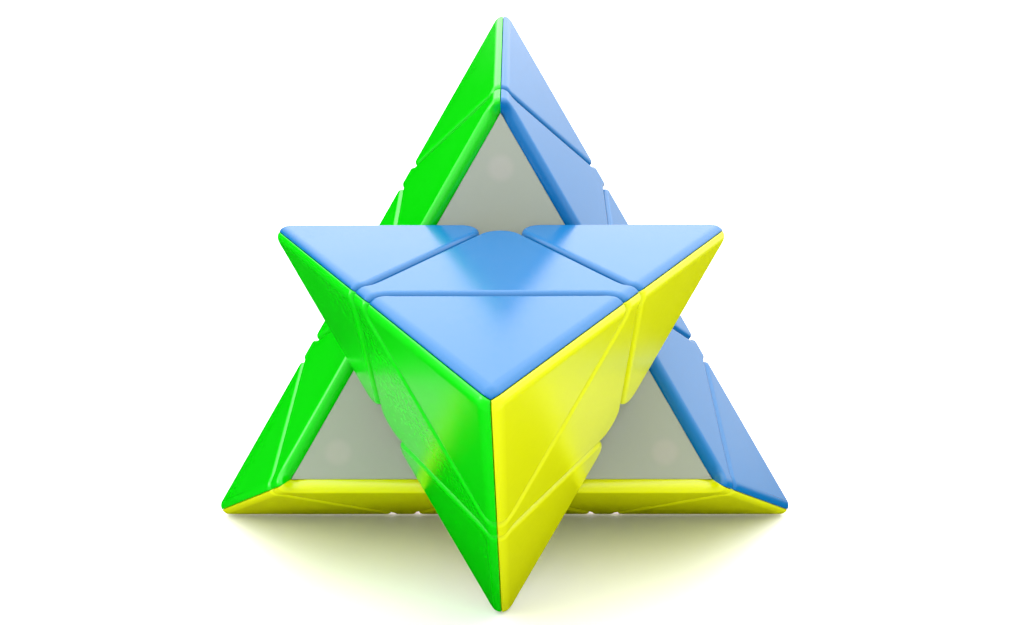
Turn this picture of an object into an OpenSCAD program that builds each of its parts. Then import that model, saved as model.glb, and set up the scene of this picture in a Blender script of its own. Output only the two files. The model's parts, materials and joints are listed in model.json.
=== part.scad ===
// Pyramid twisty puzzle: a four-axis turning puzzle of 4 tips, 4 centres and 6 edges around a
// sprung core, shown with its front layer turned by a sixth of a turn. Millimetres, +Z up.
// It stands on its back bottom ridge and on the lowest corner of the turned layer.

/* [Overall] */
// Length of one ridge between the sharp theoretical corners of the pyramid
edge_len = 98; // [82:1:118]
// Rounding of the outer ridges, cut as a flat of the same depth
ridge_r = 1.2; // [0.6:0.1:1.8]

/* [Cuts between pieces] */
// Gap between neighbouring pieces
piece_gap = 0.4; // [0.3:0.05:0.5]
// How far outside the one-third height the tip cuts lie
tip_shift = 0; // [-0.2:0.05:1]
// Distance in from the ridge where a layer cut starts to bend up
lip_in = 3.2; // [2:0.1:3.6]
// Steepness of the bent part of a layer cut, in degrees
lip_angle = 50; // [30:1:60]

/* [Coloured shells] */
// Thickness of the coloured shells
shell_t = 1.8; // [1.2:0.1:2]
// Seam between two shells that meet at a ridge
seam = 0.06; // [0.04:0.01:0.12]
// Glue line between a shell and the inner piece that it sits on
seat = 0.05; // [0.03:0.01:0.1]
// Radius of the peg under each shell
peg_r = 1.2; // [0.8:0.1:1.4]
// Length of the peg under each shell
peg_len = 2.4; // [1.5:0.1:3]
// Wall of the boss around each peg
peg_wall = 1.2; // [0.8:0.1:1.5]

/* [Inner pieces] */
// Wall thickness of the hollow inner pieces
wall = 1.6; // [1.2:0.1:2]
// Thickness of the ribs that carry the shells at the ridges
rib_t = 1.6; // [1.2:0.1:2]
// Depth of the hollows under the shells of a centre
hollow_d = 5; // [3:0.5:6]
// How far an edge's foot reaches past the inner corner of the edge
foot_depth = 2.45; // [2:0.05:3]
// Half of the width of the neck between an edge and its foot
neck_half = 2.6; // [2:0.1:3]
// Opening half-angle of the cone that the feet turn in
foot_angle = 70; // [68:0.2:70]
// Angle kept free on each side of that cone
foot_free = 0.8; // [0.6:0.1:1.2]

/* [Core] */
// Radius of the core ball
core_r = 6.5; // [6:0.1:6.8]
// Space between the core ball and the feet
core_gap = 1.9; // [1.5:0.1:2.2]
// Radius of the four core arms
arm_r = 4; // [3.5:0.1:4.2]
// Length of the core arms from the centre of the ball
arm_len = 11; // [10:0.1:11.5]
// Radius of the stalk that joins a centre to its arm
stalk_r = 7; // [6.5:0.1:7.2]
// Clearance of every running fit, on the radius
run_fit = 0.08; // [0.04:0.01:0.1]
// Radius of the pilot hole in each arm
pilot_r = 1.25; // [1.1:0.05:1.4]
// Depth of the pilot hole in each arm
pilot_d = 7; // [5:0.5:7.5]

/* [Screws and springs] */
// Radius of the screw shank
shank_r = 1.2; // [1:0.05:1.2]
// Clearance between the screw head and the wall of its pit
head_free = 0.8; // [0.6:0.1:1]
// Height of the screw head
head_t = 2.2; // [1.8:0.1:2.4]
// Thickness of the web that the spring presses on
web_t = 2; // [1.6:0.1:2.2]
// Clearance between the washer and the wall of its pit
washer_free = 0.5; // [0.4:0.1:0.8]
// Thickness of the washer
washer_t = 0.6; // [0.4:0.1:0.8]
// Length of the spring as fitted
spring_len = 6.4; // [5.5:0.1:6.6]
// Radius of the spring, to the middle of its wire
spring_r = 2.8; // [2.4:0.1:3]
// Radius of the spring wire
wire_r = 0.35; // [0.25:0.05:0.4]
// Number of turns of the spring
spring_turns = 4; // [3:1:5]

/* [Tip stems and caps] */
// Radius of the pit that holds the spring and the screw head
pit_r = 4.4; // [4.1:0.1:4.6]
// Radius of the cap that closes the pit
cap_r = 5.8; // [5.4:0.1:6]
// Thickness of the cap
cap_t = 3.4; // [2.8:0.1:3.6]
// Wall around the cap
hub_wall = 1.5; // [1.2:0.1:1.8]
// Radius of the stem that a tip turns on
stem_r = 3; // [2.6:0.1:3.1]
// How far the stem's barb stands out past the stem
barb = 0.5; // [0.3:0.1:0.6]
// Height of the barb
barb_t = 1; // [0.8:0.1:1]
// Width of the cross slots that let the stem flex
slot_w = 0.9; // [0.6:0.1:1.2]

/* [Magnets] */
// Radius of the magnets
magnet_r = 2; // [1.5:0.1:2.2]
// Thickness of the magnets
magnet_t = 1.5; // [1:0.1:1.8]
// Distance of the magnets in from the ridge, along the layer cut
magnet_in = 11.3; // [10:0.1:12]
// Plastic left in front of a magnet
magnet_skin = 0.6; // [0.4:0.1:0.8]
// Wall of the boss around a magnet
magnet_wall = 1.1; // [0.8:0.1:1.3]

/* [Hidden] */
$fn = 64;
big = 110;                                  // reaches past the whole puzzle
deep = big/4;                               // reaches from a face to the middle
past = 1;                                   // how far a cutter overshoots
third = 1/3;
half_gap = piece_gap/2;
ball_free = 0.2;                            // free space on each side of the foot sphere
r_in = edge_len/(2*sqrt(6));                // from the centre to a face
corner_d = 3*r_in;                          // from the centre to a corner
ridge_d = sqrt(3)*r_in;                     // from the centre to a ridge
ridge_half = acos(sqrt(2)/sqrt(3));         // half of the angle between two faces
ridge_cut = ridge_r*(1/sin(ridge_half) - 1);// depth of the flat that stands for the rounding
layer_cut = r_in/3;                         // from the centre to a layer cut
tip_cut = 5*r_in/3 + tip_shift;             // from the centre to a tip cut
lip_slope = tan(lip_angle);
foot_ball = layer_cut*sqrt(3) + foot_depth; // sphere between the feet and the centres
foot_in = core_r + core_gap;                // inner end of the feet
axis_angle = acos(-1/3);                    // between two turn axes
front_turn = 60;                            // the front layer's turn at rest
seam_turn = 17;                             // keeps the seams of turned shapes off the ridges
head_r = pit_r - head_free;
washer_r = pit_r - washer_free;
web_at = arm_len + run_fit;                 // underside of the web
washer_at = web_at + web_t + run_fit;
spring_at = washer_at + washer_t + wire_r;
head_at = spring_at + spring_len + wire_r;
cap_top = tip_cut - half_gap;
cap_at = cap_top - cap_t;
hub_r = cap_r + hub_wall;
stem_end = cap_at - run_fit - barb_t;
boss_r = peg_r + peg_wall;
magnet_boss = magnet_r + magnet_wall;
magnet_at = half_gap + magnet_skin;         // front of a magnet, from the cut
magnet_back = magnet_at + magnet_t;

// Corners: 0 front, 1 top, 2 left, 3 right. A face is named by the corner opposite to it.
corner = ["front", "top", "left", "right"];
paint = ["red", "yellow", "blue", "green"];
shade = [[0.86, 0.1, 0.1], [0.95, 0.92, 0.05], [0.05, 0.4, 0.85], [0.05, 0.85, 0.1]];
milky = [0.9, 0.9, 0.86];
pairs = [[0, 1], [0, 2], [0, 3], [1, 2], [1, 3], [2, 3]];

function across(az) = [2*sqrt(2)/3*cos(az), 2*sqrt(2)/3*sin(az), -third];
u = [[0, 0, 1], across(90), across(210), across(330)];
function unit(v) = v/norm(v);
function others(i) = [for (k = [0:3]) if (k != i) k];
function rest_of(i, j) = [for (k = [0:3]) if (k != i && k != j) k];

// Centre of a tile, from its corners on the outer face
function tip_spot(i, k) =
    let (o = rest_of(i, k)) (7*u[i] + u[o[0]] + u[o[1]])*corner_d/9;
function centre_spot(i, k) =
    let (o = rest_of(i, k)) (4*u[i] + u[o[0]] + u[o[1]])*corner_d/9 - u[k]*r_in/3;
function edge_spot(i, j, k) = (u[i] + u[j])*corner_d/3 - u[k]*r_in/3;

// How the puzzle stands: the lowest lines of its back ridge and of the turned layer
flat_in = ridge_cut/cos(ridge_half);
ridge_low = [-r_in*sqrt(2) + flat_in/3, -r_in + flat_in*2*sqrt(2)/3];
lip_start = (corner_d - layer_cut)/sqrt(2) - lip_in;
lip_reach = (ridge_d - ridge_cut - (layer_cut + half_gap - lip_start*lip_slope)/sqrt(3))
    /(sqrt(2/3) + lip_slope/sqrt(3));
layer_low = [-lip_reach, layer_cut + half_gap + (lip_reach - lip_start)*lip_slope];
lean = atan2(layer_low[1] - ridge_low[1], ridge_low[0] - layer_low[0]);
rest_z = ridge_low[0]*sin(lean) + ridge_low[1]*cos(lean);
// Foremost and rearmost points, which set the origin halfway between them
corner_cut = corner_d - 2*ridge_r;          // the point is flat too
nose = -(ridge_d - ridge_cut - corner_cut/sqrt(3))/sqrt(2/3)*cos(lean) - corner_cut*sin(lean);
tail = (corner_cut - r_in/3)/(2*sqrt(2)/3)*cos(lean) + r_in*sin(lean);
middle_y = -(nose + tail)/2;

// ---- placing and cutting helpers ----

// Stands a child the way the puzzle rests, with the front layer turned where asked
module at_rest(in_front) {
    translate([0, middle_y, -rest_z]) rotate([lean, 0, 0])
        rotate([0, 0, in_front ? front_turn : 0]) children();
}

// Turns the child's +Z to a direction
module look(d) {
    rotate([0, acos(d[2]/norm(d)), atan2(d[1], d[0])]) children();
}

// Everything nearer than dist along a direction
module below(d, dist) {
    look(d) translate([-big, -big, dist - 2*big]) cube(2*big);
}

// Everything further than dist along a direction
module above(d, dist) {
    look(d) translate([-big, -big, dist]) cube(2*big);
}

// A plate of thickness t through the centre, square to a direction
module slab(d, t) {
    look(d) translate([-big, -big, -t/2]) cube([2*big, 2*big, t]);
}

// Space above a cut that is flat to radius start and then bends up
module bent_space(i, cut, start) {
    rise = corner_d + past - cut;
    look(u[i]) rotate([0, 0, seam_turn]) translate([0, 0, cut])
        cylinder(r1 = start, r2 = start + rise/lip_slope, h = rise);
}

// Space of layer i, drawn in by off on its cut
module layer_space(i, off) {
    bent_space(i, layer_cut + off, lip_start);
}

// Space of tip i, drawn in by off on its cut
module tip_space(i, off) {
    bent_space(i, tip_cut + off, (corner_d - tip_cut)/sqrt(2) - lip_in);
}

// ---- the space of each outer piece ----

module tip_piece(i) {
    tip_space(i, half_gap);
}

module centre_piece(i) {
    difference() {
        layer_space(i, half_gap);
        tip_space(i, -half_gap);
        for (k = others(i)) layer_space(k, -half_gap);
    }
}

module edge_piece(i, j) {
    intersection() {
        layer_space(i, half_gap);
        layer_space(j, half_gap);
    }
}

// ---- coloured shells ----

// A shell on face k: the child's space, between the faces, mitred against faces m and cut
// to the flats of ridges e
module shell(k, m, e, spot) {
    color(shade[k]) {
        intersection() {
            children();
            above(-u[k], r_in - shell_t);
            below(-u[k], r_in);
            intersection_for (o = m) above(u[o] - u[k], seam/2);
            intersection_for (p = e) below(u[p[0]] + u[p[1]], ridge_d - ridge_cut);
        }
        translate(spot) look(u[k]) translate([0, 0, shell_t/2])
            cylinder(r = peg_r, h = shell_t/2 + peg_len, $fn = 32);
    }
}

module tip_shell(i, k) {
    o = rest_of(i, k);
    shell(k, o, [[i, o[0]], [i, o[1]]], tip_spot(i, k)) intersection() {
        tip_piece(i);
        below(u[i], corner_cut);
    }
}

module centre_shell(i, k) {
    o = rest_of(i, k);
    shell(k, o, [[i, o[0]], [i, o[1]]], centre_spot(i, k)) centre_piece(i);
}

module edge_shell(i, j, k) {
    o = [for (n = rest_of(i, j)) if (n != k) n];
    shell(k, o, [[i, j]], edge_spot(i, j, k)) edge_piece(i, j);
}

// ---- inner pieces ----

// The child's space, held inside the shells of faces m
module inside_shells(m) {
    intersection() {
        children();
        intersection_for (k = m) below(-u[k], r_in - shell_t - seat);
    }
}

// Bosses that take the shells' pegs: from the shell down into the piece
module boss(spot, k, deep) {
    translate(spot) look(u[k]) cylinder(r = boss_r, h = shell_t + deep, $fn = 32);
}

module peg_hole(spot, k) {
    translate(spot) look(u[k])
        cylinder(r = peg_r + seat, h = shell_t + peg_len + 2*seat, $fn = 32);
}

// Centre of the magnets between centre i and the layer of corner j, on the cut
function magnet_spot(i, j) = u[j]*layer_cut
    + unit(u[i] + third*u[j])*((corner_d - layer_cut)/sqrt(2) - magnet_in);

// A round bar on the magnets' axis, side 1 in the layer of corner j and -1 in centre i
module magnet_bar(i, j, side, r, from, to) {
    translate(magnet_spot(i, j)) look(side*u[j]) translate([0, 0, from])
        cylinder(r = r, h = to - from, $fn = 32);
}

module magnet(i, j, side) {
    color("silver") magnet_bar(i, j, side, magnet_r, magnet_at, magnet_back);
}

module magnet_hole(i, j, side) {
    magnet_bar(i, j, side, magnet_r + seat, magnet_at - seat, magnet_back + seat);
}

module tip_base(i) {
    color(milky) difference() {
        union() {
            difference() {
                inside_shells(others(i)) tip_piece(i);
                difference() {
                    above(u[i], tip_cut + half_gap + wall);
                    look(u[i]) cylinder(r = stem_r + wall, h = big);
                    for (k = others(i)) {
                        o = rest_of(i, k);
                        slab(u[o[0]] - u[o[1]], rib_t);
                        boss(tip_spot(i, k), k, deep);
                    }
                }
            }
            look(u[i]) translate([0, 0, stem_end + barb_t])
                cylinder(r = stem_r, h = tip_cut + wall - stem_end - barb_t);
            look(u[i]) translate([0, 0, stem_end])
                cylinder(r1 = stem_r - barb/2, r2 = stem_r + barb, h = barb_t);
        }
        for (k = others(i)) peg_hole(tip_spot(i, k), k);
        look(u[i]) translate([0, 0, stem_end - barb_t]) stem_slots();
    }
}

// A cross of slots that lets the stem's end flex
module stem_slots() {
    reach = stem_r + past;
    for (a = [0, 90]) rotate([0, 0, a])
        translate([-reach, -slot_w/2, 0]) cube([2*reach, slot_w, cap_t + 2*barb_t]);
}

// The stalk runs from the core arm out to the body of a centre
module stalk() {
    open = axis_angle - foot_angle - foot_free;
    rotate_extrude() polygon([
        [0, foot_in*cos(open)],
        [foot_in*sin(open), foot_in*cos(open)],
        [stalk_r, stalk_r/tan(open)],
        [stalk_r, foot_ball + wall],
        [0, foot_ball + wall]]);
}

// Hollows of a centre, open under its shells
module centre_hollows(i) {
    difference() {
        intersection() {
            below(u[i], cap_top - wall);
            intersection_for (j = others(i)) below(u[j], layer_cut - half_gap - wall);
        }
        intersection_for (k = others(i)) below(-u[k], r_in - shell_t - hollow_d);
        look(u[i]) cylinder(r = hub_r, h = big);
        sphere(foot_ball + ball_free + wall);
        for (k = others(i)) {
            o = rest_of(i, k);
            slab(u[o[0]] - u[o[1]], rib_t);
            boss(centre_spot(i, k), k, deep);
            magnet_bar(i, k, -1, magnet_boss, half_gap, magnet_back);
        }
    }
}

module centre_base(i) {
    color(milky) difference() {
        union() {
            difference() {
                inside_shells(others(i)) centre_piece(i);
                sphere(foot_ball + ball_free);
                centre_hollows(i);
            }
            look(u[i]) stalk();
        }
        look(u[i]) axle_bores();
        for (k = others(i)) {
            peg_hole(centre_spot(i, k), k);
            magnet_hole(i, k, -1);
        }
    }
}

// Bores of a centre: core arm, screw, spring pit and cap seat
module axle_bores() {
    cylinder(r = arm_r + run_fit, h = web_at);
    cylinder(r = shank_r + 2*run_fit, h = big);
    translate([0, 0, web_at + web_t]) cylinder(r = pit_r, h = big);
    translate([0, 0, cap_at - seat]) cylinder(r = cap_r + seat, h = big);
}

// Hollows of an edge, open under its shells
module edge_hollows(i, j) {
    o = rest_of(i, j);
    difference() {
        intersection() {
            above(u[i], layer_cut + half_gap + wall);
            above(u[j], layer_cut + half_gap + wall);
        }
        slab(u[o[0]] - u[o[1]], rib_t);
        for (k = o) boss(edge_spot(i, j, k), k, deep);
        for (p = [[i, j], [j, i]])
            magnet_bar(p[0], p[1], 1, magnet_boss, half_gap, magnet_back);
    }
}

// The round foot under an edge, which the two centres beside it hold down
module foot(i, j) {
    open = foot_angle - foot_free - axis_angle/2;
    top = (foot_ball - ball_free)*cos(open);
    look(u[i] + u[j]) rotate([0, 0, seam_turn]) translate([0, 0, foot_in])
        cylinder(r1 = foot_in*tan(open), r2 = top*tan(open), h = top - foot_in);
}

// The space of the feet and stalks beside an edge's neck
module beside_neck(i, j) {
    o = rest_of(i, j);
    for (side = [-1, 1])
        look(side*(u[o[0]] - u[o[1]])) rotate([0, 0, seam_turn]) intersection() {
            sphere(foot_ball + ball_free);
            translate([-big, -big, neck_half]) cube(2*big);
        }
}

module edge_base(i, j) {
    o = rest_of(i, j);
    color(milky) difference() {
        union() {
            difference() {
                inside_shells(o) edge_piece(i, j);
                edge_hollows(i, j);
                beside_neck(i, j);
            }
            foot(i, j);
        }
        for (k = o) peg_hole(edge_spot(i, j, k), k);
        for (p = [[i, j], [j, i]]) magnet_hole(p[0], p[1], 1);
    }
}

// ---- core and hardware ----

module core() {
    color([0.15, 0.15, 0.16]) difference() {
        union() {
            sphere(core_r);
            for (i = [0:3]) look(u[i]) translate([0, 0, core_r/2])
                cylinder(r = arm_r, h = arm_len - core_r/2);
        }
        for (i = [0:3]) look(u[i]) translate([0, 0, arm_len - pilot_d])
            cylinder(r = pilot_r, h = pilot_d + past, $fn = 32);
    }
}

module screw() {
    tip_gap = 0.4;
    shank_at = arm_len - pilot_d + tip_gap;
    drive = [1.1*head_r, 0.8, head_t];
    color("silver") difference() {
        union() {
            translate([0, 0, shank_at])
                cylinder(r = shank_r, h = head_at + head_t/4 - shank_at, $fn = 32);
            translate([0, 0, head_at]) cylinder(r = head_r, h = head_t);
        }
        for (a = [0, 90]) rotate([0, 0, a])
            translate([-drive[0]/2, -drive[1]/2, head_at + head_t/2]) cube(drive);
    }
}

module washer() {
    color("silver") translate([0, 0, washer_at]) difference() {
        cylinder(r = washer_r, h = washer_t);
        translate([0, 0, -past])
            cylinder(r = shank_r + 2*run_fit, h = washer_t + 2*past, $fn = 32);
    }
}

// A round wire swept along a helix
module spring() {
    per_turn = 12;
    rings = per_turn*spring_turns;
    sides = 6;
    clear = 0.05;
    rise = spring_len - 2*clear;
    points = [for (n = [0:rings], s = [0:sides - 1])
        let (a = n*360/per_turn, b = s*360/sides, r = spring_r + wire_r*cos(b))
        [r*cos(a), r*sin(a), spring_at + clear + rise*n/rings + wire_r*sin(b)]];
    walls = [for (n = [0:rings - 1], s = [0:sides - 1])
        let (t = (s + 1)%sides)
        [n*sides + s, n*sides + t, (n + 1)*sides + t, (n + 1)*sides + s]];
    start = [for (s = [sides - 1:-1:0]) s];
    end = [for (s = [0:sides - 1]) rings*sides + s];
    color("silver") polyhedron(points, concat(walls, [start, end]));
}

module cap() {
    color(milky) translate([0, 0, cap_at]) difference() {
        cylinder(r = cap_r, h = cap_t);
        translate([0, 0, -past]) cylinder(r = stem_r + run_fit, h = cap_t + 2*past);
    }
}

// Everything on the turn axis of corners in the list, each in its own direction
module on_axes(list) {
    for (i = list) look(u[i]) children();
}

module magnets_of(centres, edges) {
    for (i = centres, j = others(i)) magnet(i, j, -1);
    for (p = edges) {
        magnet(p[0], p[1], 1);
        magnet(p[1], p[0], 1);
    }
}

// ---- the puzzle ----

for (i = [0:3]) {
    at_rest(i == 0) tip_base(i);
    at_rest(i == 0) centre_base(i);
    for (k = others(i)) {
        at_rest(i == 0) tip_shell(i, k);
        at_rest(i == 0) centre_shell(i, k);
    }
}
for (p = pairs) {
    at_rest(p[0] == 0) edge_base(p[0], p[1]);
    for (k = rest_of(p[0], p[1]))
        at_rest(p[0] == 0) edge_shell(p[0], p[1], k);
}
at_rest(false) core();
at_rest(false) on_axes([0:3]) screw();  // centre_screws
at_rest(false) on_axes([0:3]) washer();  // washers
at_rest(false) on_axes([0:3]) spring();  // springs
at_rest(true) on_axes([0]) cap();  // cap_front
at_rest(false) on_axes([1:3]) cap();  // caps_back
at_rest(true) magnets_of([0], [for (n = [0:2]) pairs[n]]);  // magnets_front
at_rest(false) magnets_of([1:3], [for (n = [3:5]) pairs[n]]);  // magnets_back
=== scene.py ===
# %% [markdown]
# # A pyramid twisty puzzle
# The puzzle has four corners. Each corner carries a small tip that spins by itself, and a layer
# that turns about the same axis. Coloured plates cover milky inner pieces, and a sprung core
# holds everything together. The packed CAD model gives the places, so this lesson starts by
# loading it and takes the turn axes from its joints instead of measuring anything again.

import json
import math

import bmesh
import bpy
import numpy as np
from mathutils import Matrix, Vector

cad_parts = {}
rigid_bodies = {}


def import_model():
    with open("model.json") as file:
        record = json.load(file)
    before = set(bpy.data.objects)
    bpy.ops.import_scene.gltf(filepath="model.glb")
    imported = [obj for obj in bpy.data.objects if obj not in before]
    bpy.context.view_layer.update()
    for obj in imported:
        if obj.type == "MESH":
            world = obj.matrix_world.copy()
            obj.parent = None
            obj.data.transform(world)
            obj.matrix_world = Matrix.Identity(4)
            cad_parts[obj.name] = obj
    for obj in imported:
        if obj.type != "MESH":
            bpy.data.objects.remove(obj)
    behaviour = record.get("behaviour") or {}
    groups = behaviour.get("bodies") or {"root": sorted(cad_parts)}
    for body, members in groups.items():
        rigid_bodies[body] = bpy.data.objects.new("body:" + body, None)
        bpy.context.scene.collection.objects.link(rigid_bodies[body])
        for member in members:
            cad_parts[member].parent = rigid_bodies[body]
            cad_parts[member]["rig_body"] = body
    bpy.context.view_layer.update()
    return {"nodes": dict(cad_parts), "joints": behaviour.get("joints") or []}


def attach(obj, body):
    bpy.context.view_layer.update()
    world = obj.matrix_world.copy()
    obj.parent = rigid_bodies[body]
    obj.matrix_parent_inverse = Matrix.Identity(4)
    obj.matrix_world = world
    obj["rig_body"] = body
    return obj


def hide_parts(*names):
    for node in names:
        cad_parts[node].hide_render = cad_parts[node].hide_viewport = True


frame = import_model()

# %% [markdown]
# ## The four axes
# Every cut of the puzzle is square to one of four axes through its middle. The joints hold
# those axes. The front layer stands a sixth of a turn round, so its own pieces use a second
# set: the same four directions, turned with the layer. Lengths below are millimetres, and a
# mesh is scaled to metres when it is made.

# %% Axes of the still pieces and of the turned layer
MM = 0.001
CORNERS = ["front", "top", "left", "right"]
PAINTS = ["red", "yellow", "blue", "green"]
FRONT_TURN = math.radians(60)

joints = {j["name"]: j for j in frame["joints"]}
middle = np.array(joints["front_layer_turn"]["pos_m"])/MM


def unit(v):
    return v/np.linalg.norm(v)


tip_joints = [joints[f"tip_{name}_turn"] for name in CORNERS]
still_axes = np.array([unit(np.array(j["axis"])) for j in tip_joints])
turn = np.array(Matrix.Rotation(FRONT_TURN, 3, Vector(still_axes[0])))
turned_axes = still_axes @ turn.T
print("middle, mm:", middle.round(2), "front axis:", still_axes[0].round(3))

# %% [markdown]
# ## Sizes
# These are the sizes that shape the coloured plates. They repeat the CAD model's: a plate has
# to end where its piece ends, or the pieces would cut through each other when they turn. The
# ridges have a true rounding that lies just inside the CAD model's flats.

# %% Sizes in millimetres
EDGE = 98.0                     # ridge between the sharp corners
FACE_AT = EDGE/(2*math.sqrt(6)) # from the middle to a face
CORNER_AT = 3*FACE_AT
HALF_GAP = 0.2
LAYER_CUT = FACE_AT/3
TIP_CUT = 5*FACE_AT/3
LIP_IN = 3.2                    # where a cut starts to bend up, in from the ridge
LIP_SLOPE = math.tan(math.radians(50))
LIP_SOFT = 0.5                  # radius of the bend
RIDGE_R = 1.5                   # rounding of the ridges and the points
PLATE_T = 1.8
SEAM = 0.06                     # gap between two plates at a ridge
SEAM_R = 0.14                   # rounding of the plates along that gap
RIM_R = 0.75                    # rounding of the plates along the cuts
HEART_R = 3.0                   # plan rounding of the corners at the middle of a face
SUPPORT = 0.15                  # a flat rim that keeps the shading of the face flat
LEAN = 2*math.sqrt(2)/3         # part of an axis that lies in a face
print("from the middle to a face:", round(FACE_AT, 3), "mm")

# %% [markdown]
# ## The rounded skin
# A plate is a flat triangle whose outer borders roll over the ridges, and whose other borders
# dive into the gaps. The roll is easy to describe: take a smaller pyramid inside, and the skin
# is everything at one rounding radius from it. So a point drawn on the flat unrolled face is
# carried to the skin in two steps. First it is pulled back to the inner triangle, then the
# leftover is laid round the radius as an arc. One rule covers the faces, ridges and points.

# %% Carry a point of the unrolled face to the skin
plan_axes = np.array([[0, 0, 1]] + [
    [LEAN*math.cos(math.radians(a)), LEAN*math.sin(math.radians(a)), -1/3]
    for a in (90, 210, 330)])
out = -plan_axes[0]                                 # the face that all three tiles are drawn on
face_x, face_y = np.array([1.0, 0, 0]), np.array([0, -1.0, 0])
towards = {n: unit(np.array([plan_axes[n] @ face_x, plan_axes[n] @ face_y])) for n in (1, 2, 3)}
CORE_IN = EDGE/(2*math.sqrt(3)) - RIDGE_R*math.sqrt(2)      # from face centre to inner triangle


def in_space(flat):
    return flat[0]*face_x + flat[1]*face_y


def over(flat, m):
    """How far a point lies past the inner triangle's side that is opposite corner m."""
    return -(towards[m] @ flat) - CORE_IN


def skin(flat):
    """Place and outward normal of the skin at a point of the unrolled face."""
    base = flat
    past = [m for m in (1, 2, 3) if over(flat, m) > 0]
    if past:
        worst = max(past, key=lambda m: over(flat, m))
        base = flat + over(flat, worst)*towards[worst]
        for m in (1, 2, 3):
            if m != worst and over(base, m) > 1e-9:
                n = 6 - m - worst
                base = 2*CORE_IN*towards[n]
    rest = flat - base
    length = np.linalg.norm(rest)
    normal = out
    if length > 1e-9:
        angle = length/RIDGE_R
        normal = math.cos(angle)*out + math.sin(angle)*in_space(rest/length)
    return (FACE_AT - RIDGE_R)*out + in_space(base) + RIDGE_R*normal, normal


print("inner triangle, mm from the face's centre:", round(CORE_IN, 2))

# %% [markdown]
# ## The cuts
# A layer turns, so the gap beside it must be a surface of revolution about the layer's axis.
# It is a plane that bends up near the ridges, where the real puzzle's gaps curve so as to
# cross the ridge squarely. A cut is a number that is zero on the gap's middle and grows
# towards the layer's corner. Walking along the cut, the border of a plate is found by halving
# an interval, because the bend and the rolled ridge together have no short formula.

# %% Height over a cut, and the plate's border along it
HALVINGS = 34


class Cut:
    """The border of a plate along the cut of corner j. side is 1 for a plate on the corner's
    side of the cut and -1 for a plate below it."""

    def __init__(self, j, height, side):
        self.axis = plan_axes[j]
        self.height = height + side*HALF_GAP
        self.start = (CORNER_AT - height)/math.sqrt(2) - LIP_IN
        self.side = side
        self.up = towards[j]
        self.along = np.array([self.up[1], -self.up[0]])

    def bend(self, radius):
        d = radius - self.start
        root = math.hypot(d, LIP_SOFT)
        return LIP_SLOPE*(d + root)/2, LIP_SLOPE*(1 + d/root)/2

    def over(self, place):
        level = place @ self.axis
        radius = np.linalg.norm(place - level*self.axis)
        return level - self.height - self.bend(radius)[0]

    def wall(self, place):
        """Outward normal of the plate's wall at a place on the cut."""
        level = place @ self.axis
        spoke = place - level*self.axis
        radius = np.linalg.norm(spoke)
        return -self.side*unit(self.axis - self.bend(radius)[1]*spoke/radius)

    def border(self, w):
        """Flat point of the border at w along the cut."""
        low = (self.height - FACE_AT/3)/LEAN - 2
        high = low + 10
        for _ in range(HALVINGS):
            mid = (low + high)/2
            if self.over(skin(mid*self.up + w*self.along)[0]) > 0:
                high = mid
            else:
                low = mid
        return low*self.up + w*self.along

    def inward(self, w):
        step = 0.02
        t = unit(self.border(w + step) - self.border(w - step))
        n = np.array([-t[1], t[0]])
        return n if self.side*(n @ self.up) > 0 else -n

    def sample(self, w):
        flat = self.border(w)
        place, normal = skin(flat)
        return flat, self.inward(w), normal, self.wall(place)


probe = Cut(1, LAYER_CUT, 1)
print("layer border at the middle and near the ridge:", probe.border(0.0).round(2),
      probe.border(31.0).round(2))

# %% [markdown]
# ## Columns
# Walking round a plate, every step gives a column of points: a support point on the face, the
# start of the rounding, an arc down to the wall and the foot of the wall. The arc's middle is
# where a ball of the rounding radius touches face and wall together. The lean of the wall
# differs from border to border, sharp on the layer's side of a gap and blunt on the other, and
# the same rule handles both.

# %% One column of a plate
ARC_STEPS = 6


def round_reach(normal, wall):
    """How far in from the sharp edge the rounding starts, for a rounding radius of one."""
    c = normal @ wall
    return math.sqrt((1 - c)/(1 + c))


def turn_between(a, b, t):
    angle = math.acos(max(-1, min(1, a @ b)))
    return (math.sin((1 - t)*angle)*a + math.sin(t*angle)*b)/math.sin(angle)


def foot_of(place, direction):
    """Where a ray leaves the plate's underside."""
    depth = place @ out - (FACE_AT - PLATE_T)
    return place + direction*depth/(-(direction @ out))


def column(flat, inward, edge_normal, wall, snap=None):
    """snap = (ridge, level) keeps the face points of the column on a line along that ridge."""
    reach = RIM_R*round_reach(edge_normal, wall)
    tops = [flat + (reach + SUPPORT)*inward, flat + reach*inward]
    if snap:
        tops = [p + (over(p, snap[0]) - snap[1])*towards[snap[0]] for p in tops]
    (support, n0), (top, n1) = skin(tops[0]), skin(tops[1])
    centre = top - RIM_R*n1
    normals = [n0] + [turn_between(n1, wall, s/ARC_STEPS) for s in range(ARC_STEPS + 1)] + [wall]
    points = [support] + [centre + RIM_R*n for n in normals[1:-1]]
    down = unit((n1 @ wall)*wall - n1)
    points.append(foot_of(points[-1], down))
    return points, normals


# %% [markdown]
# ## Chains
# A chain is the run of columns from one ridge to the next. Near a ridge its columns must land
# on fixed levels of the rolled strip, so that the strip between two chains is a clean grid.
# Those steps are again found by halving.

# %% Levels on the ridge and the chains between ridges
SEAM_CUT = SEAM_R + SEAM/2


def across_seam(m):
    """Unit vector from this face towards face m, square to the plane between the two."""
    return unit(-plan_axes[m] - out)


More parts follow.
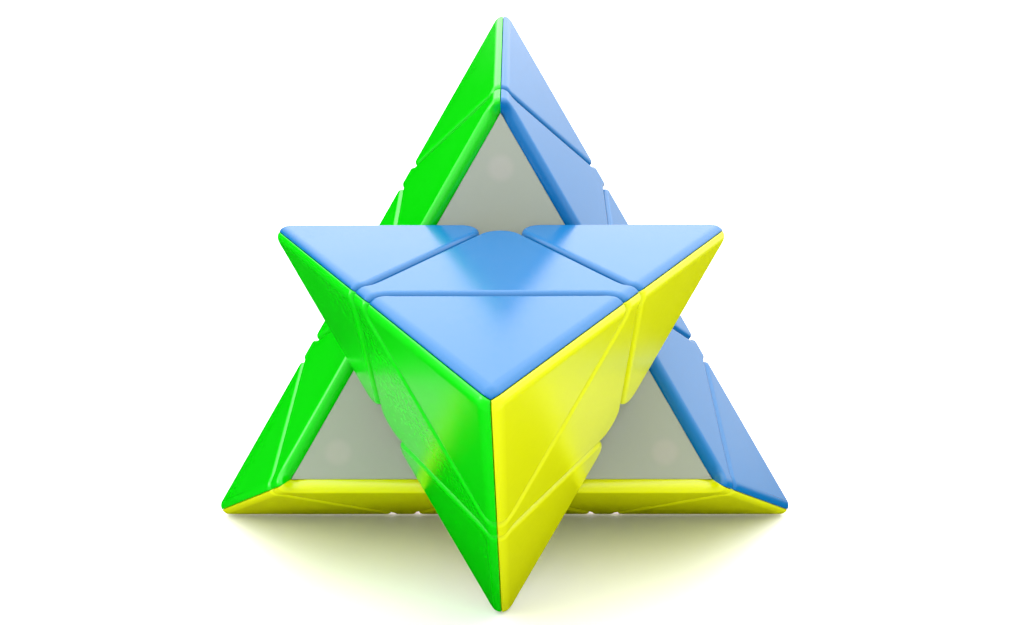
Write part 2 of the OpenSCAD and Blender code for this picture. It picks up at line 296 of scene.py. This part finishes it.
def seam_level(m, direction):
    """Arc length where the flat seam border of face m lies, on the ball at the point."""
    centre = (FACE_AT - RIDGE_R)*out + in_space(2*CORE_IN*towards[1])
    low, high = 0.0, RIDGE_R*math.pi/2
    for _ in range(HALVINGS):
        mid = (low + high)/2
        angle = mid/RIDGE_R
        normal = math.cos(angle)*out + math.sin(angle)*in_space(direction)
        if (centre + RIDGE_R*normal) @ across_seam(m) < -SEAM_CUT:
            low = mid
        else:
            high = mid
    return low


STRIP_STEPS = 5
RIDGE_AWAY = (12.0, 36.0)       # a cut meets its ridge between these distances from its middle
border_level = seam_level(3, -towards[3])
levels = [border_level*(STRIP_STEPS - s)/STRIP_STEPS for s in range(STRIP_STEPS + 1)]
levels.append(-SUPPORT)


def level_columns(cut, ridge, sign):
    """Columns at the levels of a ridge, from the seam inwards. sign is the way along the cut."""
    found = []
    for level in levels:
        low, high = RIDGE_AWAY
        for _ in range(HALVINGS):
            mid = (low + high)/2
            flat, inward, normal, wall = cut.sample(sign*mid)
            top = flat + RIM_R*round_reach(normal, wall)*inward
            if over(top, ridge) < level:
                low = mid
            else:
                high = mid
        found.append((sign*low, column(*cut.sample(sign*low), snap=(ridge, level))))
    return found


RUN_STEPS = 12
HEART_STEPS = 8


def run_columns(cut, w0, w1):
    """Columns between two places, closer together towards w1, without the ends."""
    shares = [1 - (1 - s/(RUN_STEPS + 1))**2 for s in range(1, RUN_STEPS + 1)]
    return [column(*cut.sample(w0 + (w1 - w0)*t)) for t in shares]


def heart_columns(first, second):
    """Columns round the corner where two cuts meet at the middle of the face."""
    side = first.side
    spots = [(c.height - FACE_AT/3)/LEAN for c in (first, second)]
    rows = np.array([first.up, second.up])
    centre = np.linalg.solve(rows, [s + side*HEART_R for s in spots])
    result = []
    for s in range(HEART_STEPS + 1):
        outward = turn_between(-side*first.up, -side*second.up, s/HEART_STEPS)
        wall = LEAN*in_space(outward) - side*out/3
        result.append(column(centre + HEART_R*outward, -outward, out, wall))
    return result, centre


print("seam border at", round(border_level, 3), "mm of arc; levels:", len(levels))

# %% [markdown]
# ## Three outlines
# A tip's plate has one cut and a point, a centre's plate has three cuts, and an edge's plate
# has two. Each outline is a loop of chains. Between two chains the plate rolls over a ridge to
# the seam that it shares with its neighbour.

# %% Chains of the three plates, on the face opposite the front corner


def far_side(cut, ridge):
    """The way along a cut that leads to a ridge."""
    return 1 if (cut.along @ -towards[ridge]) > 0 else -1


def across_chain(cut, ridge_a, ridge_b):
    """A cut that runs from ridge to ridge."""
    start = level_columns(cut, ridge_a, far_side(cut, ridge_a))
    end = level_columns(cut, ridge_b, far_side(cut, ridge_b))
    half_a = run_columns(cut, 0.0, start[-1][0])
    half_b = run_columns(cut, 0.0, end[-1][0])
    middle_column = column(*cut.sample(0.0))
    return ([c for _, c in start] + half_a[::-1] + [middle_column] + half_b
            + [c for _, c in end[::-1]])


def heart_chain(first, second, ridge_a, ridge_b):
    """From ridge a along the first cut, round the heart corner and out along the second."""
    start = level_columns(first, ridge_a, far_side(first, ridge_a))
    end = level_columns(second, ridge_b, far_side(second, ridge_b))
    heart, centre = heart_columns(first, second)
    half_a = run_columns(first, centre @ first.along, start[-1][0])
    half_b = run_columns(second, centre @ second.along, end[-1][0])
    return ([c for _, c in start] + half_a[::-1] + heart + half_b
            + [c for _, c in end[::-1]])


LEVEL_COUNT = len(levels)
plates = {
    "tip": [(across_chain(Cut(1, TIP_CUT, 1), 3, 2), 2)],
    "centre": [(across_chain(Cut(1, TIP_CUT, -1), 3, 2), 2),
               (heart_chain(Cut(3, LAYER_CUT, -1), Cut(2, LAYER_CUT, -1), 2, 3), 3)],
    "edge": [(heart_chain(Cut(1, LAYER_CUT, 1), Cut(2, LAYER_CUT, 1), 3, 3), 3)],
}
print({kind: [len(chain) for chain, _ in chains] for kind, chains in plates.items()})

# %% [markdown]
# ## Sewing a plate
# With the columns known, the plate is sewn like a garment. The chains give the rims, the
# strips roll over the ridges, a narrow rounding follows the seam, and three kinds of flat
# panel close the rest: the face, the seam walls and the underside. A tip's strip also bends
# round the point of the pyramid, on a small ball. Closing the solid lets Blender decide which
# side is outside.

# %% Sew columns to a closed mesh
SEAM_STEPS = 3
POINT_STEPS = 8


class Sewing:
    """Collects points and faces. Points at the same place are welded at the end."""

    def __init__(self):
        self.points, self.faces = [], []

    def add(self, points):
        first = len(self.points)
        self.points += list(points)
        return list(range(first, len(self.points)))

    def grid(self, rows):
        for a, b in zip(rows, rows[1:]):
            for n in range(len(a) - 1):
                self.faces.append((a[n], a[n + 1], b[n + 1], b[n]))


def point_row(level_share):
    """Places and normals round the point, at a share of the way from the face to the seam."""
    if level_share < 0:
        return [skin(2*(CORE_IN - SUPPORT)*towards[1])]*(POINT_STEPS + 1)
    row = []
    for n in range(POINT_STEPS + 1):
        near = 3 if n > POINT_STEPS/2 else 2
        direction = turn_between(-towards[2], -towards[3], n/POINT_STEPS)
        angle = level_share*seam_level(near, direction)/RIDGE_R
        normal = math.cos(angle)*out + math.sin(angle)*in_space(direction)
        centre = (FACE_AT - RIDGE_R)*out + in_space(2*CORE_IN*towards[1])
        row.append((centre + RIDGE_R*normal, normal))
    return row


def seam_column(place, normal, seam_way, planes):
    """The small rounding beside the seam: from the face down to the seam wall."""
    normal = unit(normal - (normal @ seam_way)*seam_way/(seam_way @ seam_way))
    result = []
    for s in range(1, SEAM_STEPS + 1):
        a = s/SEAM_STEPS*math.pi/2
        result.append(place + SEAM_R*(math.sin(a)*seam_way + (math.cos(a) - 1)*normal))
    if len(planes) == 1:
        result[-1] = result[-1] - (result[-1] @ planes[0] + SEAM/2)*planes[0]
    return result


def sew(chains, has_point):
    """One closed plate from its chains. has_point is true for a tip."""
    sewing = Sewing()
    ids = []
    for chain, _ in chains:
        ids.append([sewing.add(points) for points, _ in chain])
        sewing.grid(ids[-1])
    face_panel, under_panel = [], []
    for n, (chain, ridge) in enumerate(chains):
        after = (n + 1) % len(chains)
        next_chain = chains[after][0]
        flat_part = ids[n][LEVEL_COUNT - 1:len(chain) - LEVEL_COUNT + 1]
        face_panel += [c[0] for c in flat_part]
        under_panel += [c[-1] for c in ids[n]]
        rows, middle_normals = [], []
        for m in range(LEVEL_COUNT):
            leaving, coming = ids[n][len(chain) - 1 - m], ids[after][m]
            between = []
            if has_point:
                share = levels[m]/levels[0] if levels[m] >= 0 else -1
                row = point_row(share)
                between = sewing.add([p for p, _ in row])
                if m == 0:
                    middle_normals = [nn for _, nn in row]
                if m == LEVEL_COUNT - 1:
                    face_panel += between
            rows.append([leaving[0]] + between + [coming[0]])
        sewing.grid(rows)
        # the path along the seam: up the leaving rim, along the ridge, down the coming rim
        left_points, left_normals = chain[-1]
        right_points, right_normals = next_chain[0]
        path = ids[n][-1][::-1] + rows[0][1:-1] + ids[after][0]
        normals = left_normals[::-1] + middle_normals + right_normals
        ways = [[across_seam(ridge)]]*len(left_points)
        if has_point:
            half = POINT_STEPS//2
            both = [across_seam(2), across_seam(3)]
            ways += [[both[0]]]*half + [both] + [[both[1]]]*half
            ways += [[both[1]]]*len(right_points)
        else:
            ways += [[across_seam(ridge)]]*len(right_points)
        columns = []
        for index, normal, way in zip(path, normals, ways):
            step = way[0] if len(way) == 1 else (way[0] + way[1])/(1 + way[0] @ way[1])
            beside = sewing.add(seam_column(sewing.points[index], normal, step, way))
            columns.append([index] + beside)
        sewing.grid(columns)
        ends = [c[-1] for c in columns]
        under_panel += columns[0][1:]
        if has_point:
            turn_at = len(left_points) + POINT_STEPS//2
            corner_end = sewing.points[ends[turn_at]]
            below = sewing.add([foot_of(corner_end, -plan_axes[1])])[0]
            sewing.faces.append(ends[:turn_at + 1] + [below])
            sewing.faces.append([below] + ends[turn_at:])
            under_panel.append(below)
        else:
            sewing.faces.append(ends)
        under_panel += columns[-1][:0:-1]
    sewing.faces += [face_panel, under_panel]
    return sewing


sewn = {kind: sew(chains, kind == "tip") for kind, chains in plates.items()}
print({kind: len(s.faces) for kind, s in sewn.items()})

# %% [markdown]
# ## From three plates to thirty-six
# All plates of one kind are alike, so three meshes are enough. A plate is put in place by the
# turn that carries the drawing's four axes to the plate's own. Listing its corners in an even
# order makes that a turn and not a mirror image.

# %% Place every plate
WELD = 1e-7                     # metres


def even(order):
    """Whether an even number of swaps sorts the order."""
    swaps = sum(1 for a in range(4) for b in range(a + 1, 4) if order[a] > order[b])
    return swaps % 2 == 0


def plate_mesh(name, kind, order, axes):
    """order[n] is the corner that plays the drawing's corner n. Also counts open edges."""
    carry = 0.75*sum(np.outer(axes[order[n]], plan_axes[n]) for n in range(4))
    bm = bmesh.new()
    verts = [bm.verts.new(MM*(middle + carry @ p)) for p in sewn[kind].points]
    for face in sewn[kind].faces:
        loop = list(dict.fromkeys(face))
        bm.faces.new([verts[n] for n in loop])
    bmesh.ops.remove_doubles(bm, verts=bm.verts, dist=WELD)
    bmesh.ops.dissolve_degenerate(bm, edges=bm.edges, dist=WELD/10)
    bmesh.ops.recalc_face_normals(bm, faces=bm.faces)
    open_edges = sum(1 for e in bm.edges if len(e.link_faces) != 2)
    mesh = bpy.data.meshes.new(name)
    bm.to_mesh(mesh)
    bm.free()
    mesh.shade_smooth()
    piece = bpy.data.objects.new(name, mesh)
    bpy.context.scene.collection.objects.link(piece)
    return piece, open_edges


def place_plate(kind, corners, face):
    """corners are the corners that the piece belongs to."""
    rest = [n for n in range(4) if n != face and n not in corners]
    order = [face] + corners + rest
    if not even(order):
        order = [face] + (corners[::-1] + rest if len(corners) == 2 else corners + rest[::-1])
    node = "_".join([kind] + [CORNERS[n] for n in sorted(corners)] + [PAINTS[face]])
    axes = turned_axes if 0 in corners else still_axes
    piece, open_edges = plate_mesh("plate_" + node, kind, order, axes)
    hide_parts(node)
    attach(piece, frame["nodes"][node]["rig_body"])
    piece["paint"] = PAINTS[face]
    return piece, open_edges


painted, leaks = [], 0
for face in range(4):
    others = [n for n in range(4) if n != face]
    for n in others:
        for kind in ("tip", "centre"):
            piece, open_edges = place_plate(kind, [n], face)
            painted.append(piece)
            leaks += open_edges
    for n in others:
        pair = [c for c in others if c != n]
        piece, open_edges = place_plate("edge", pair, face)
        painted.append(piece)
        leaks += open_edges
print(len(painted), "plates, open edges:", leaks)

# %% [markdown]
# ## Shader maths as Python
# A pattern in a material is a small sum. A chain of nodes for every plus and times hides that,
# so a wrapper lets a socket be added and multiplied as a number is. The same wrapper serves
# the world's shader, which is a node tree too.

# %% Wrap a socket


class Socket:
    """A shader socket that can be used in sums. Other nodes come from Tree.node."""

    def __init__(self, owner, link):
        self.owner, self.link = owner, link

    def maths(self, operation, a, b):
        return self.owner.node("ShaderNodeMath", {"operation": operation}, [a, b])[0]

    def __add__(self, other):
        return self.maths("ADD", self, other)

    __radd__ = __add__

    def __sub__(self, other):
        return self.maths("SUBTRACT", self, other)

    def __rsub__(self, other):
        return self.maths("SUBTRACT", other, self)

    def __mul__(self, other):
        return self.maths("MULTIPLY", self, other)

    __rmul__ = __mul__


class Outputs:
    """The outputs of a node, by number or by name."""

    def __init__(self, owner, node):
        self.owner, self.found = owner, node.outputs

    def __getitem__(self, key):
        return Socket(self.owner, self.found[key])


class Tree:
    """A node tree that is built by expressions."""

    def __init__(self, tree):
        self.tree = tree

    def node(self, kind, settings, inputs):
        """Adds a node. The settings are set first, then the inputs, in order or by name."""
        node = self.tree.nodes.new(kind)
        for key, value in settings.items():
            setattr(node, key, value)
        pairs = inputs.items() if isinstance(inputs, dict) else enumerate(inputs)
        for key, value in pairs:
            if isinstance(value, Socket):
                self.tree.links.new(value.link, node.inputs[key])
            else:
                node.inputs[key].default_value = value
        return Outputs(self, node)

    def smooth(self, value, low, high, at_low=0.0, at_high=1.0):
        """Goes softly from one number to another while value goes from low to high."""
        return self.node("ShaderNodeMapRange", {"interpolation_type": "SMOOTHSTEP"},
                         [value, low, high, at_low, at_high])[0]


class Material(Tree):
    """A material with one Principled shader. Named values go straight to its sockets."""

    def __init__(self, name, **values):
        self.material = bpy.data.materials.new(name)
        self.material.use_nodes = True
        super().__init__(self.material.node_tree)
        self.shader = self.tree.nodes["Principled BSDF"]
        self.place = self.node("ShaderNodeTexCoord", {}, [])["Object"]
        for socket, value in values.items():
            self.shader.inputs[socket.replace("_", " ")].default_value = value

    def feed(self, socket, value):
        """Gives a socket of the shader a value that varies over the surface."""
        self.tree.links.new(value.link, self.shader.inputs[socket])


print("a socket can do:", [n for n in vars(Socket) if n in ("__add__", "__sub__", "__mul__")])

# %% [markdown]
# ## Light, floor and camera
# The puzzle stands on a white table in a light tent. Its faces are seen at a low angle, so they
# act as weak mirrors. The upper face and the right side pick up the bright tent. The left side
# mirrors a dark opening, which keeps its green full. The front of the tent is dim, and nothing
# comes up from below the table. The camera itself sees plain white.

# %% Stage
scene = bpy.context.scene
scene.view_settings.view_transform = "Standard"

TENT = 1.05                     # brightness of the back and the sides
FRONT = 0.22                    # brightness of the front
ROOF = 1.4                      # what the roof adds
CEILING = 1.3                   # what the ceiling straight above adds
FRONT_TO_BACK = (-0.6, 0.4)     # along Y of a direction, where the front turns into the back
ROOF_FROM = (0.05, 0.4)         # up Z of a direction, where the roof comes in
CEILING_FROM = (0.6, 0.8)
GROUND = (-0.33, -0.15)         # below this nothing shines
OPENING = (-40, -5)             # azimuth from +Y and elevation of the dark opening, degrees
OPENING_EDGE = (24, 35)         # where it ends, from dark to bright, degrees
CAMERA_WHITE = 1.15
TABLE_HALF = 12.0               # metres
TABLE_WHITE = 0.88


def softbox(name, place, target, size, watts):
    """A round lamp that looks at a target."""
    data = bpy.data.lights.new(name, "AREA")
    data.shape, data.size, data.energy = "DISK", size, watts
    lamp = bpy.data.objects.new(name, data)
    lamp.location = place
    lamp.rotation_euler = (Vector(target) - Vector(place)).to_track_quat("-Z", "Y").to_euler()
    scene.collection.objects.link(lamp)


world = bpy.data.worlds.new("studio")
world.use_nodes = True
sky = Tree(world.node_tree)
background = world.node_tree.nodes["Background"]
way = sky.node("ShaderNodeTexCoord", {}, [])["Generated"]
parts = sky.node("ShaderNodeSeparateXYZ", {}, [way])
azimuth, elevation = (math.radians(a) for a in OPENING)
aim = (math.sin(azimuth)*math.cos(elevation), math.cos(azimuth)*math.cos(elevation),
       math.sin(elevation))
near_aim = sky.node("ShaderNodeVectorMath", {"operation": "DOT_PRODUCT"}, [way, aim])["Value"]
inner, outer = (math.cos(math.radians(a)) for a in OPENING_EDGE)
open_part = sky.smooth(near_aim, outer, inner)
wall = FRONT + (TENT - FRONT)*sky.smooth(parts["Y"], *FRONT_TO_BACK)
roof = ROOF*sky.smooth(parts["Z"], *ROOF_FROM) + CEILING*sky.smooth(parts["Z"], *CEILING_FROM)
light = (wall + roof)*(1 - open_part)*sky.smooth(parts["Z"], *GROUND)
seen = sky.node("ShaderNodeLightPath", {}, [])["Is Camera Ray"]
strength = light*(1 - seen) + CAMERA_WHITE*seen
world.node_tree.links.new(strength.link, background.inputs["Strength"])
background.inputs["Color"].default_value = (1, 1, 1, 1)
scene.world = world

table_mesh = bpy.data.meshes.new("table")
table_mesh.from_pydata([(x*TABLE_HALF, y*TABLE_HALF, 0) for x, y in
                        ((-1, -1), (1, -1), (1, 1), (-1, 1))], [], [(0, 1, 2, 3)])
table = bpy.data.objects.new("table", table_mesh)
table.visible_glossy = False
scene.collection.objects.link(table)
card = Material("white card", Base_Color=(TABLE_WHITE, TABLE_WHITE, TABLE_WHITE, 1),
                Roughness=0.9, Specular_IOR_Level=0.1)
table_mesh.materials.append(card.material)

softbox("lamp_left", (-0.78, -0.18, 0.25), (0, 0, 0.03), 0.4, 1.8)

camera_data = bpy.data.cameras.new("camera")
camera_data.sensor_width = 36
camera_data.lens = 35.42
camera_data.clip_start, camera_data.clip_end = 0.005, 50
camera = bpy.data.objects.new("camera", camera_data)
camera.location = (0.002578, -0.127649, 0.082107)
camera.rotation_euler = [math.radians(a) for a in (72.521, 0.218, 0.378)]
scene.collection.objects.link(camera)
scene.camera = camera
print("camera at, mm:", [round(v/MM, 1) for v in camera.location])

# %% [markdown]
# ## Moulded ABS
# The plates are glossy moulded plastic, never quite flat. The mould leaves a slight wave and a
# fine grain, which break up the reflections. A low bump gives the wave, and a little noise in
# the roughness gives the grain. The dye is even, so the colour hardly changes.

# %% Paint the plates
GRAIN, GRAIN_STEP = 1600.0, 0.16    # fineness, and what it does to the roughness
WAVE, WAVE_STEP = 110.0, 0.06
SHELL_GLOSS = 0.21                  # roughness of the plates
DYES = {"red": (0.60, 0.015, 0.01, 1), "yellow": (0.53, 0.57, 0.0, 1),
        "blue": (0.0, 0.12, 0.33, 1), "green": (0.0, 0.49, 0.0, 1)}


def moulded(name, dye, roughness, **more):
    """Plastic with the mould's wave in the bump and its grain in the roughness."""
    material = Material(name, Base_Color=dye, IOR=1.5, **more)
    grain = material.node("ShaderNodeTexNoise", {}, {
        "Vector": material.place, "Scale": GRAIN, "Detail": 3.0, "Roughness": 0.6})["Fac"]
    wave = material.node("ShaderNodeTexNoise", {}, {
        "Vector": material.place, "Scale": WAVE, "Detail": 2.0})["Fac"]
    uneven = GRAIN_STEP*(grain - 0.5) + WAVE_STEP*(wave - 0.5)
    material.feed("Roughness", roughness + uneven)
    bump = material.node("ShaderNodeBump", {}, {
        "Strength": 0.08, "Distance": 0.0001, "Height": wave})["Normal"]
    material.feed("Normal", bump)
    return material


for dye, colour in DYES.items():
    abs_plastic = moulded(dye + " ABS", colour, SHELL_GLOSS).material
    for piece in painted:
        if piece["paint"] == dye:
            piece.data.materials.append(abs_plastic)
print("dyes:", list(DYES))

# %% [markdown]
# ## Milky inner pieces
# Under the plates every piece is a milky translucent moulding. Light goes a little way in, so
# it gets subsurface scattering. A magnet sits just under the skin of each cut, and there the
# plastic looks warmer and a little lighter in a soft round spot. The sizes below place the
# magnets, and the spots of the opened cut are painted round the same places.

# %% Places of the magnets
MAGNET_R, MAGNET_T = 2.0, 1.5
MAGNET_IN = 11.3            # in from the ridge, along the cut
MAGNET_SKIN = 0.6           # plastic in front of it
CUT_REACH = (CORNER_AT - LAYER_CUT)/math.sqrt(2)


def magnet_places(axes, centres, edges):
    """Middle, direction and cut of each magnet in some centres and edges."""
    wanted = [(i, j, -1) for i in centres for j in range(4) if j != i]
    wanted += [(i, j, 1) for pair in edges for i, j in (pair, pair[::-1])]
    depth = HALF_GAP + MAGNET_SKIN + MAGNET_T/2
    found = []
    for i, j, side in wanted:
        spot = LAYER_CUT*axes[j] + (CUT_REACH - MAGNET_IN)*unit(axes[i] + axes[j]/3)
        found.append((middle + spot + side*depth*axes[j], axes[j], j))
    return found


magnets = {"magnets_front": magnet_places(turned_axes, [0], [(0, 1), (0, 2), (0, 3)]),
           "magnets_back": magnet_places(still_axes, [1, 2, 3], [(1, 2), (1, 3), (2, 3)])}
opened = [place for found in magnets.values() for place, _, j in found if j == 0]
print({name: len(found) for name, found in magnets.items()}, "at the open cut:", len(opened))

# %% Milky plastic with its warm spots
MILK = (0.27, 0.295, 0.235, 1)
WARM = (0.34, 0.33, 0.285, 1)
WARM_SHARE = 0.6
SPOT_EDGE = (0.7, -0.3)         # mm from the magnet's rim, where the spot starts and is full
MIX_A, MIX_B, MIX_COLOUR = 6, 7, 2      # the colour sockets of a Mix node

milky = moulded("milky plastic", MILK, 0.38, Subsurface_Weight=0.5,
                Subsurface_Radius=(1.0, 0.9, 0.7), Subsurface_Scale=0.0012)
spots = 0.0
for place in opened:
    apart = milky.node("ShaderNodeVectorMath", {"operation": "DISTANCE"},
                       [milky.place, [v*MM for v in place]])["Value"]
    start, full = ((MAGNET_R + e)*MM for e in SPOT_EDGE)
    spots = milky.smooth(apart, start, full) + spots
tint = milky.node("ShaderNodeMix", {"data_type": "RGBA"},
                  {0: WARM_SHARE*spots, MIX_A: MILK, MIX_B: WARM})
milky.feed("Base Color", tint[MIX_COLOUR])
nylon = moulded("core nylon", (0.02, 0.02, 0.022, 1), 0.45)
steel = moulded("plated steel", (0.6, 0.6, 0.6, 1), 0.3, Metallic=1.0)
print("materials:", [m.material.name for m in (milky, nylon, steel)])

# %% [markdown]
# ## Hardware by rule
# Magnets, washers and springs repeat, so Geometry Nodes copies them. Each rule makes one shape
# and sets it on every point of a small host mesh, along the direction stored at that point.
# The rule's sizes are named inputs. The result is kept as a plain mesh, one for each body.

# %% Rules for a disc, a ring and a spring
WASHER_OUT, WASHER_IN, WASHER_T = 3.9, 1.36, 0.6
SPRING_R, SPRING_LENGTH, SPRING_TURNS = 2.8, 6.3, 4.0
WIRE_R = 0.33


class Rule(Tree):
    """A Geometry Nodes group that copies a shape onto points. Its sizes become its inputs."""

    def __init__(self, name, **sizes):
        self.group = bpy.data.node_groups.new(name, "GeometryNodeTree")
        super().__init__(self.group)
        face = self.group.interface
        self.ids, self.sizes = {}, sizes
        face.new_socket("Geometry", in_out="INPUT", socket_type="NodeSocketGeometry")
        face.new_socket("Geometry", in_out="OUTPUT", socket_type="NodeSocketGeometry")
        for label, value in sizes.items():
            made = face.new_socket(label, in_out="INPUT", socket_type="NodeSocketFloat")
            self.ids[label] = made.identifier
        self.given = self.node("NodeGroupInput", {}, [])

    def copy_onto_points(self, shape):
        """Ends the rule: copies, real geometry, and a material."""
        way = self.node("GeometryNodeInputNamedAttribute", {"data_type": "FLOAT_VECTOR"},
                        {"Name": "way"})[0]
        turned = self.node("FunctionNodeAlignRotationToVector", {"axis": "Z"},
                           {"Vector": way})[0]
        copies = self.node("GeometryNodeInstanceOnPoints", {},
                           {"Points": self.given["Geometry"], "Instance": shape,
                            "Rotation": turned})[0]
        real = self.node("GeometryNodeRealizeInstances", {}, {"Geometry": copies})[0]
        done = self.node("GeometryNodeSetMaterial", {},
                         {"Geometry": real, "Material": steel.material})[0]
        self.node("NodeGroupOutput", {}, {"Geometry": done})


disc = Rule("disc", Radius=MAGNET_R*MM, Thickness=MAGNET_T*MM)
disc.copy_onto_points(disc.node("GeometryNodeMeshCylinder", {}, {
    "Vertices": 48, "Radius": disc.given["Radius"], "Depth": disc.given["Thickness"]})["Mesh"])

ring = Rule("ring", Middle_Radius=(WASHER_OUT + WASHER_IN)/2*MM,
            Width=(WASHER_OUT - WASHER_IN)*MM, Thickness=WASHER_T*MM)
circle = ring.node("GeometryNodeCurvePrimitiveCircle", {}, {
    "Resolution": 64, "Radius": ring.given["Middle_Radius"]})["Curve"]
section = ring.node("GeometryNodeCurvePrimitiveQuadrilateral", {}, {
    "Width": ring.given["Width"], "Height": ring.given["Thickness"]})["Curve"]
ring.copy_onto_points(ring.node("GeometryNodeCurveToMesh", {}, {
    "Curve": circle, "Profile Curve": section})["Mesh"])

spring = Rule("spring", Turns=SPRING_TURNS, Radius=SPRING_R*MM, Wire_Radius=WIRE_R*MM,
              Length=SPRING_LENGTH*MM)
helix = spring.node("GeometryNodeCurveSpiral", {}, {
    "Resolution": 32, "Rotations": spring.given["Turns"],
    "Start Radius": spring.given["Radius"], "End Radius": spring.given["Radius"],
    "Height": spring.given["Length"]})["Curve"]
wire = spring.node("GeometryNodeCurvePrimitiveCircle", {}, {
    "Resolution": 12, "Radius": spring.given["Wire_Radius"]})["Curve"]
spring.copy_onto_points(spring.node("GeometryNodeCurveToMesh", {}, {
    "Curve": helix, "Profile Curve": wire, "Fill Caps": True})["Mesh"])
print({r.group.name: list(r.sizes) for r in (disc, ring, spring)})

# %% Grow the copies and keep them as plain meshes
WASHER_AT = 13.46           # middle of a washer, out from the core
SPRING_AT = 14.16           # where a spring starts


def grow(node_name, rule, spots):
    """spots holds a place and a direction for each copy."""
    host = bpy.data.meshes.new("host")
    host.from_pydata([MM*np.array(place) for place, _ in spots], [], [])
    ways = host.attributes.new("way", "FLOAT_VECTOR", "POINT")
    ways.data.foreach_set("vector", np.array([way for _, way in spots]).ravel())
    piece = bpy.data.objects.new("copies_" + node_name, host)
    scene.collection.objects.link(piece)
    modifier = piece.modifiers.new("rule", "NODES")
    modifier.node_group = rule.group
    for label, value in rule.sizes.items():
        modifier[rule.ids[label]] = value
    shown = bpy.context.evaluated_depsgraph_get()
    shown.update()
    plain = bpy.data.meshes.new_from_object(piece.evaluated_get(shown), depsgraph=shown)
    piece.modifiers.remove(modifier)
    piece.data = plain
    bpy.data.meshes.remove(host)
    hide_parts(node_name)
    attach(piece, frame["nodes"][node_name]["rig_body"])
    return piece


grown = [grow(name, disc, [(place, way) for place, way, _ in found])
         for name, found in magnets.items()]
for name, rule, start in (("washers", ring, WASHER_AT), ("springs", spring, SPRING_AT)):
    grown.append(grow(name, rule, [(middle + start*axis, axis) for axis in still_axes]))
for piece in grown:
    own = np.array([v.co for v in piece.data.vertices])/MM
    print(piece.name, len(own), "points, mm:", own.min(0).round(1), own.max(0).round(1))

# %% [markdown]
# ## The rest of the CAD pieces
# The inner pieces, the caps, the core and the screws stay as the CAD model has them. They get
# the milky plastic, black nylon and plated steel.

# %% Finish the CAD nodes
for name, node in frame["nodes"].items():
    chosen = steel
    if name.endswith("base") or name.startswith("cap"):
        chosen = milky
    elif name == "core":
        chosen = nylon
    node.data.materials.clear()
    node.data.materials.append(chosen.material)
print(len(frame["nodes"]), "CAD nodes")

# %% [markdown]
# ## Last measure
# The visual model has to stay inside the CAD model's box.
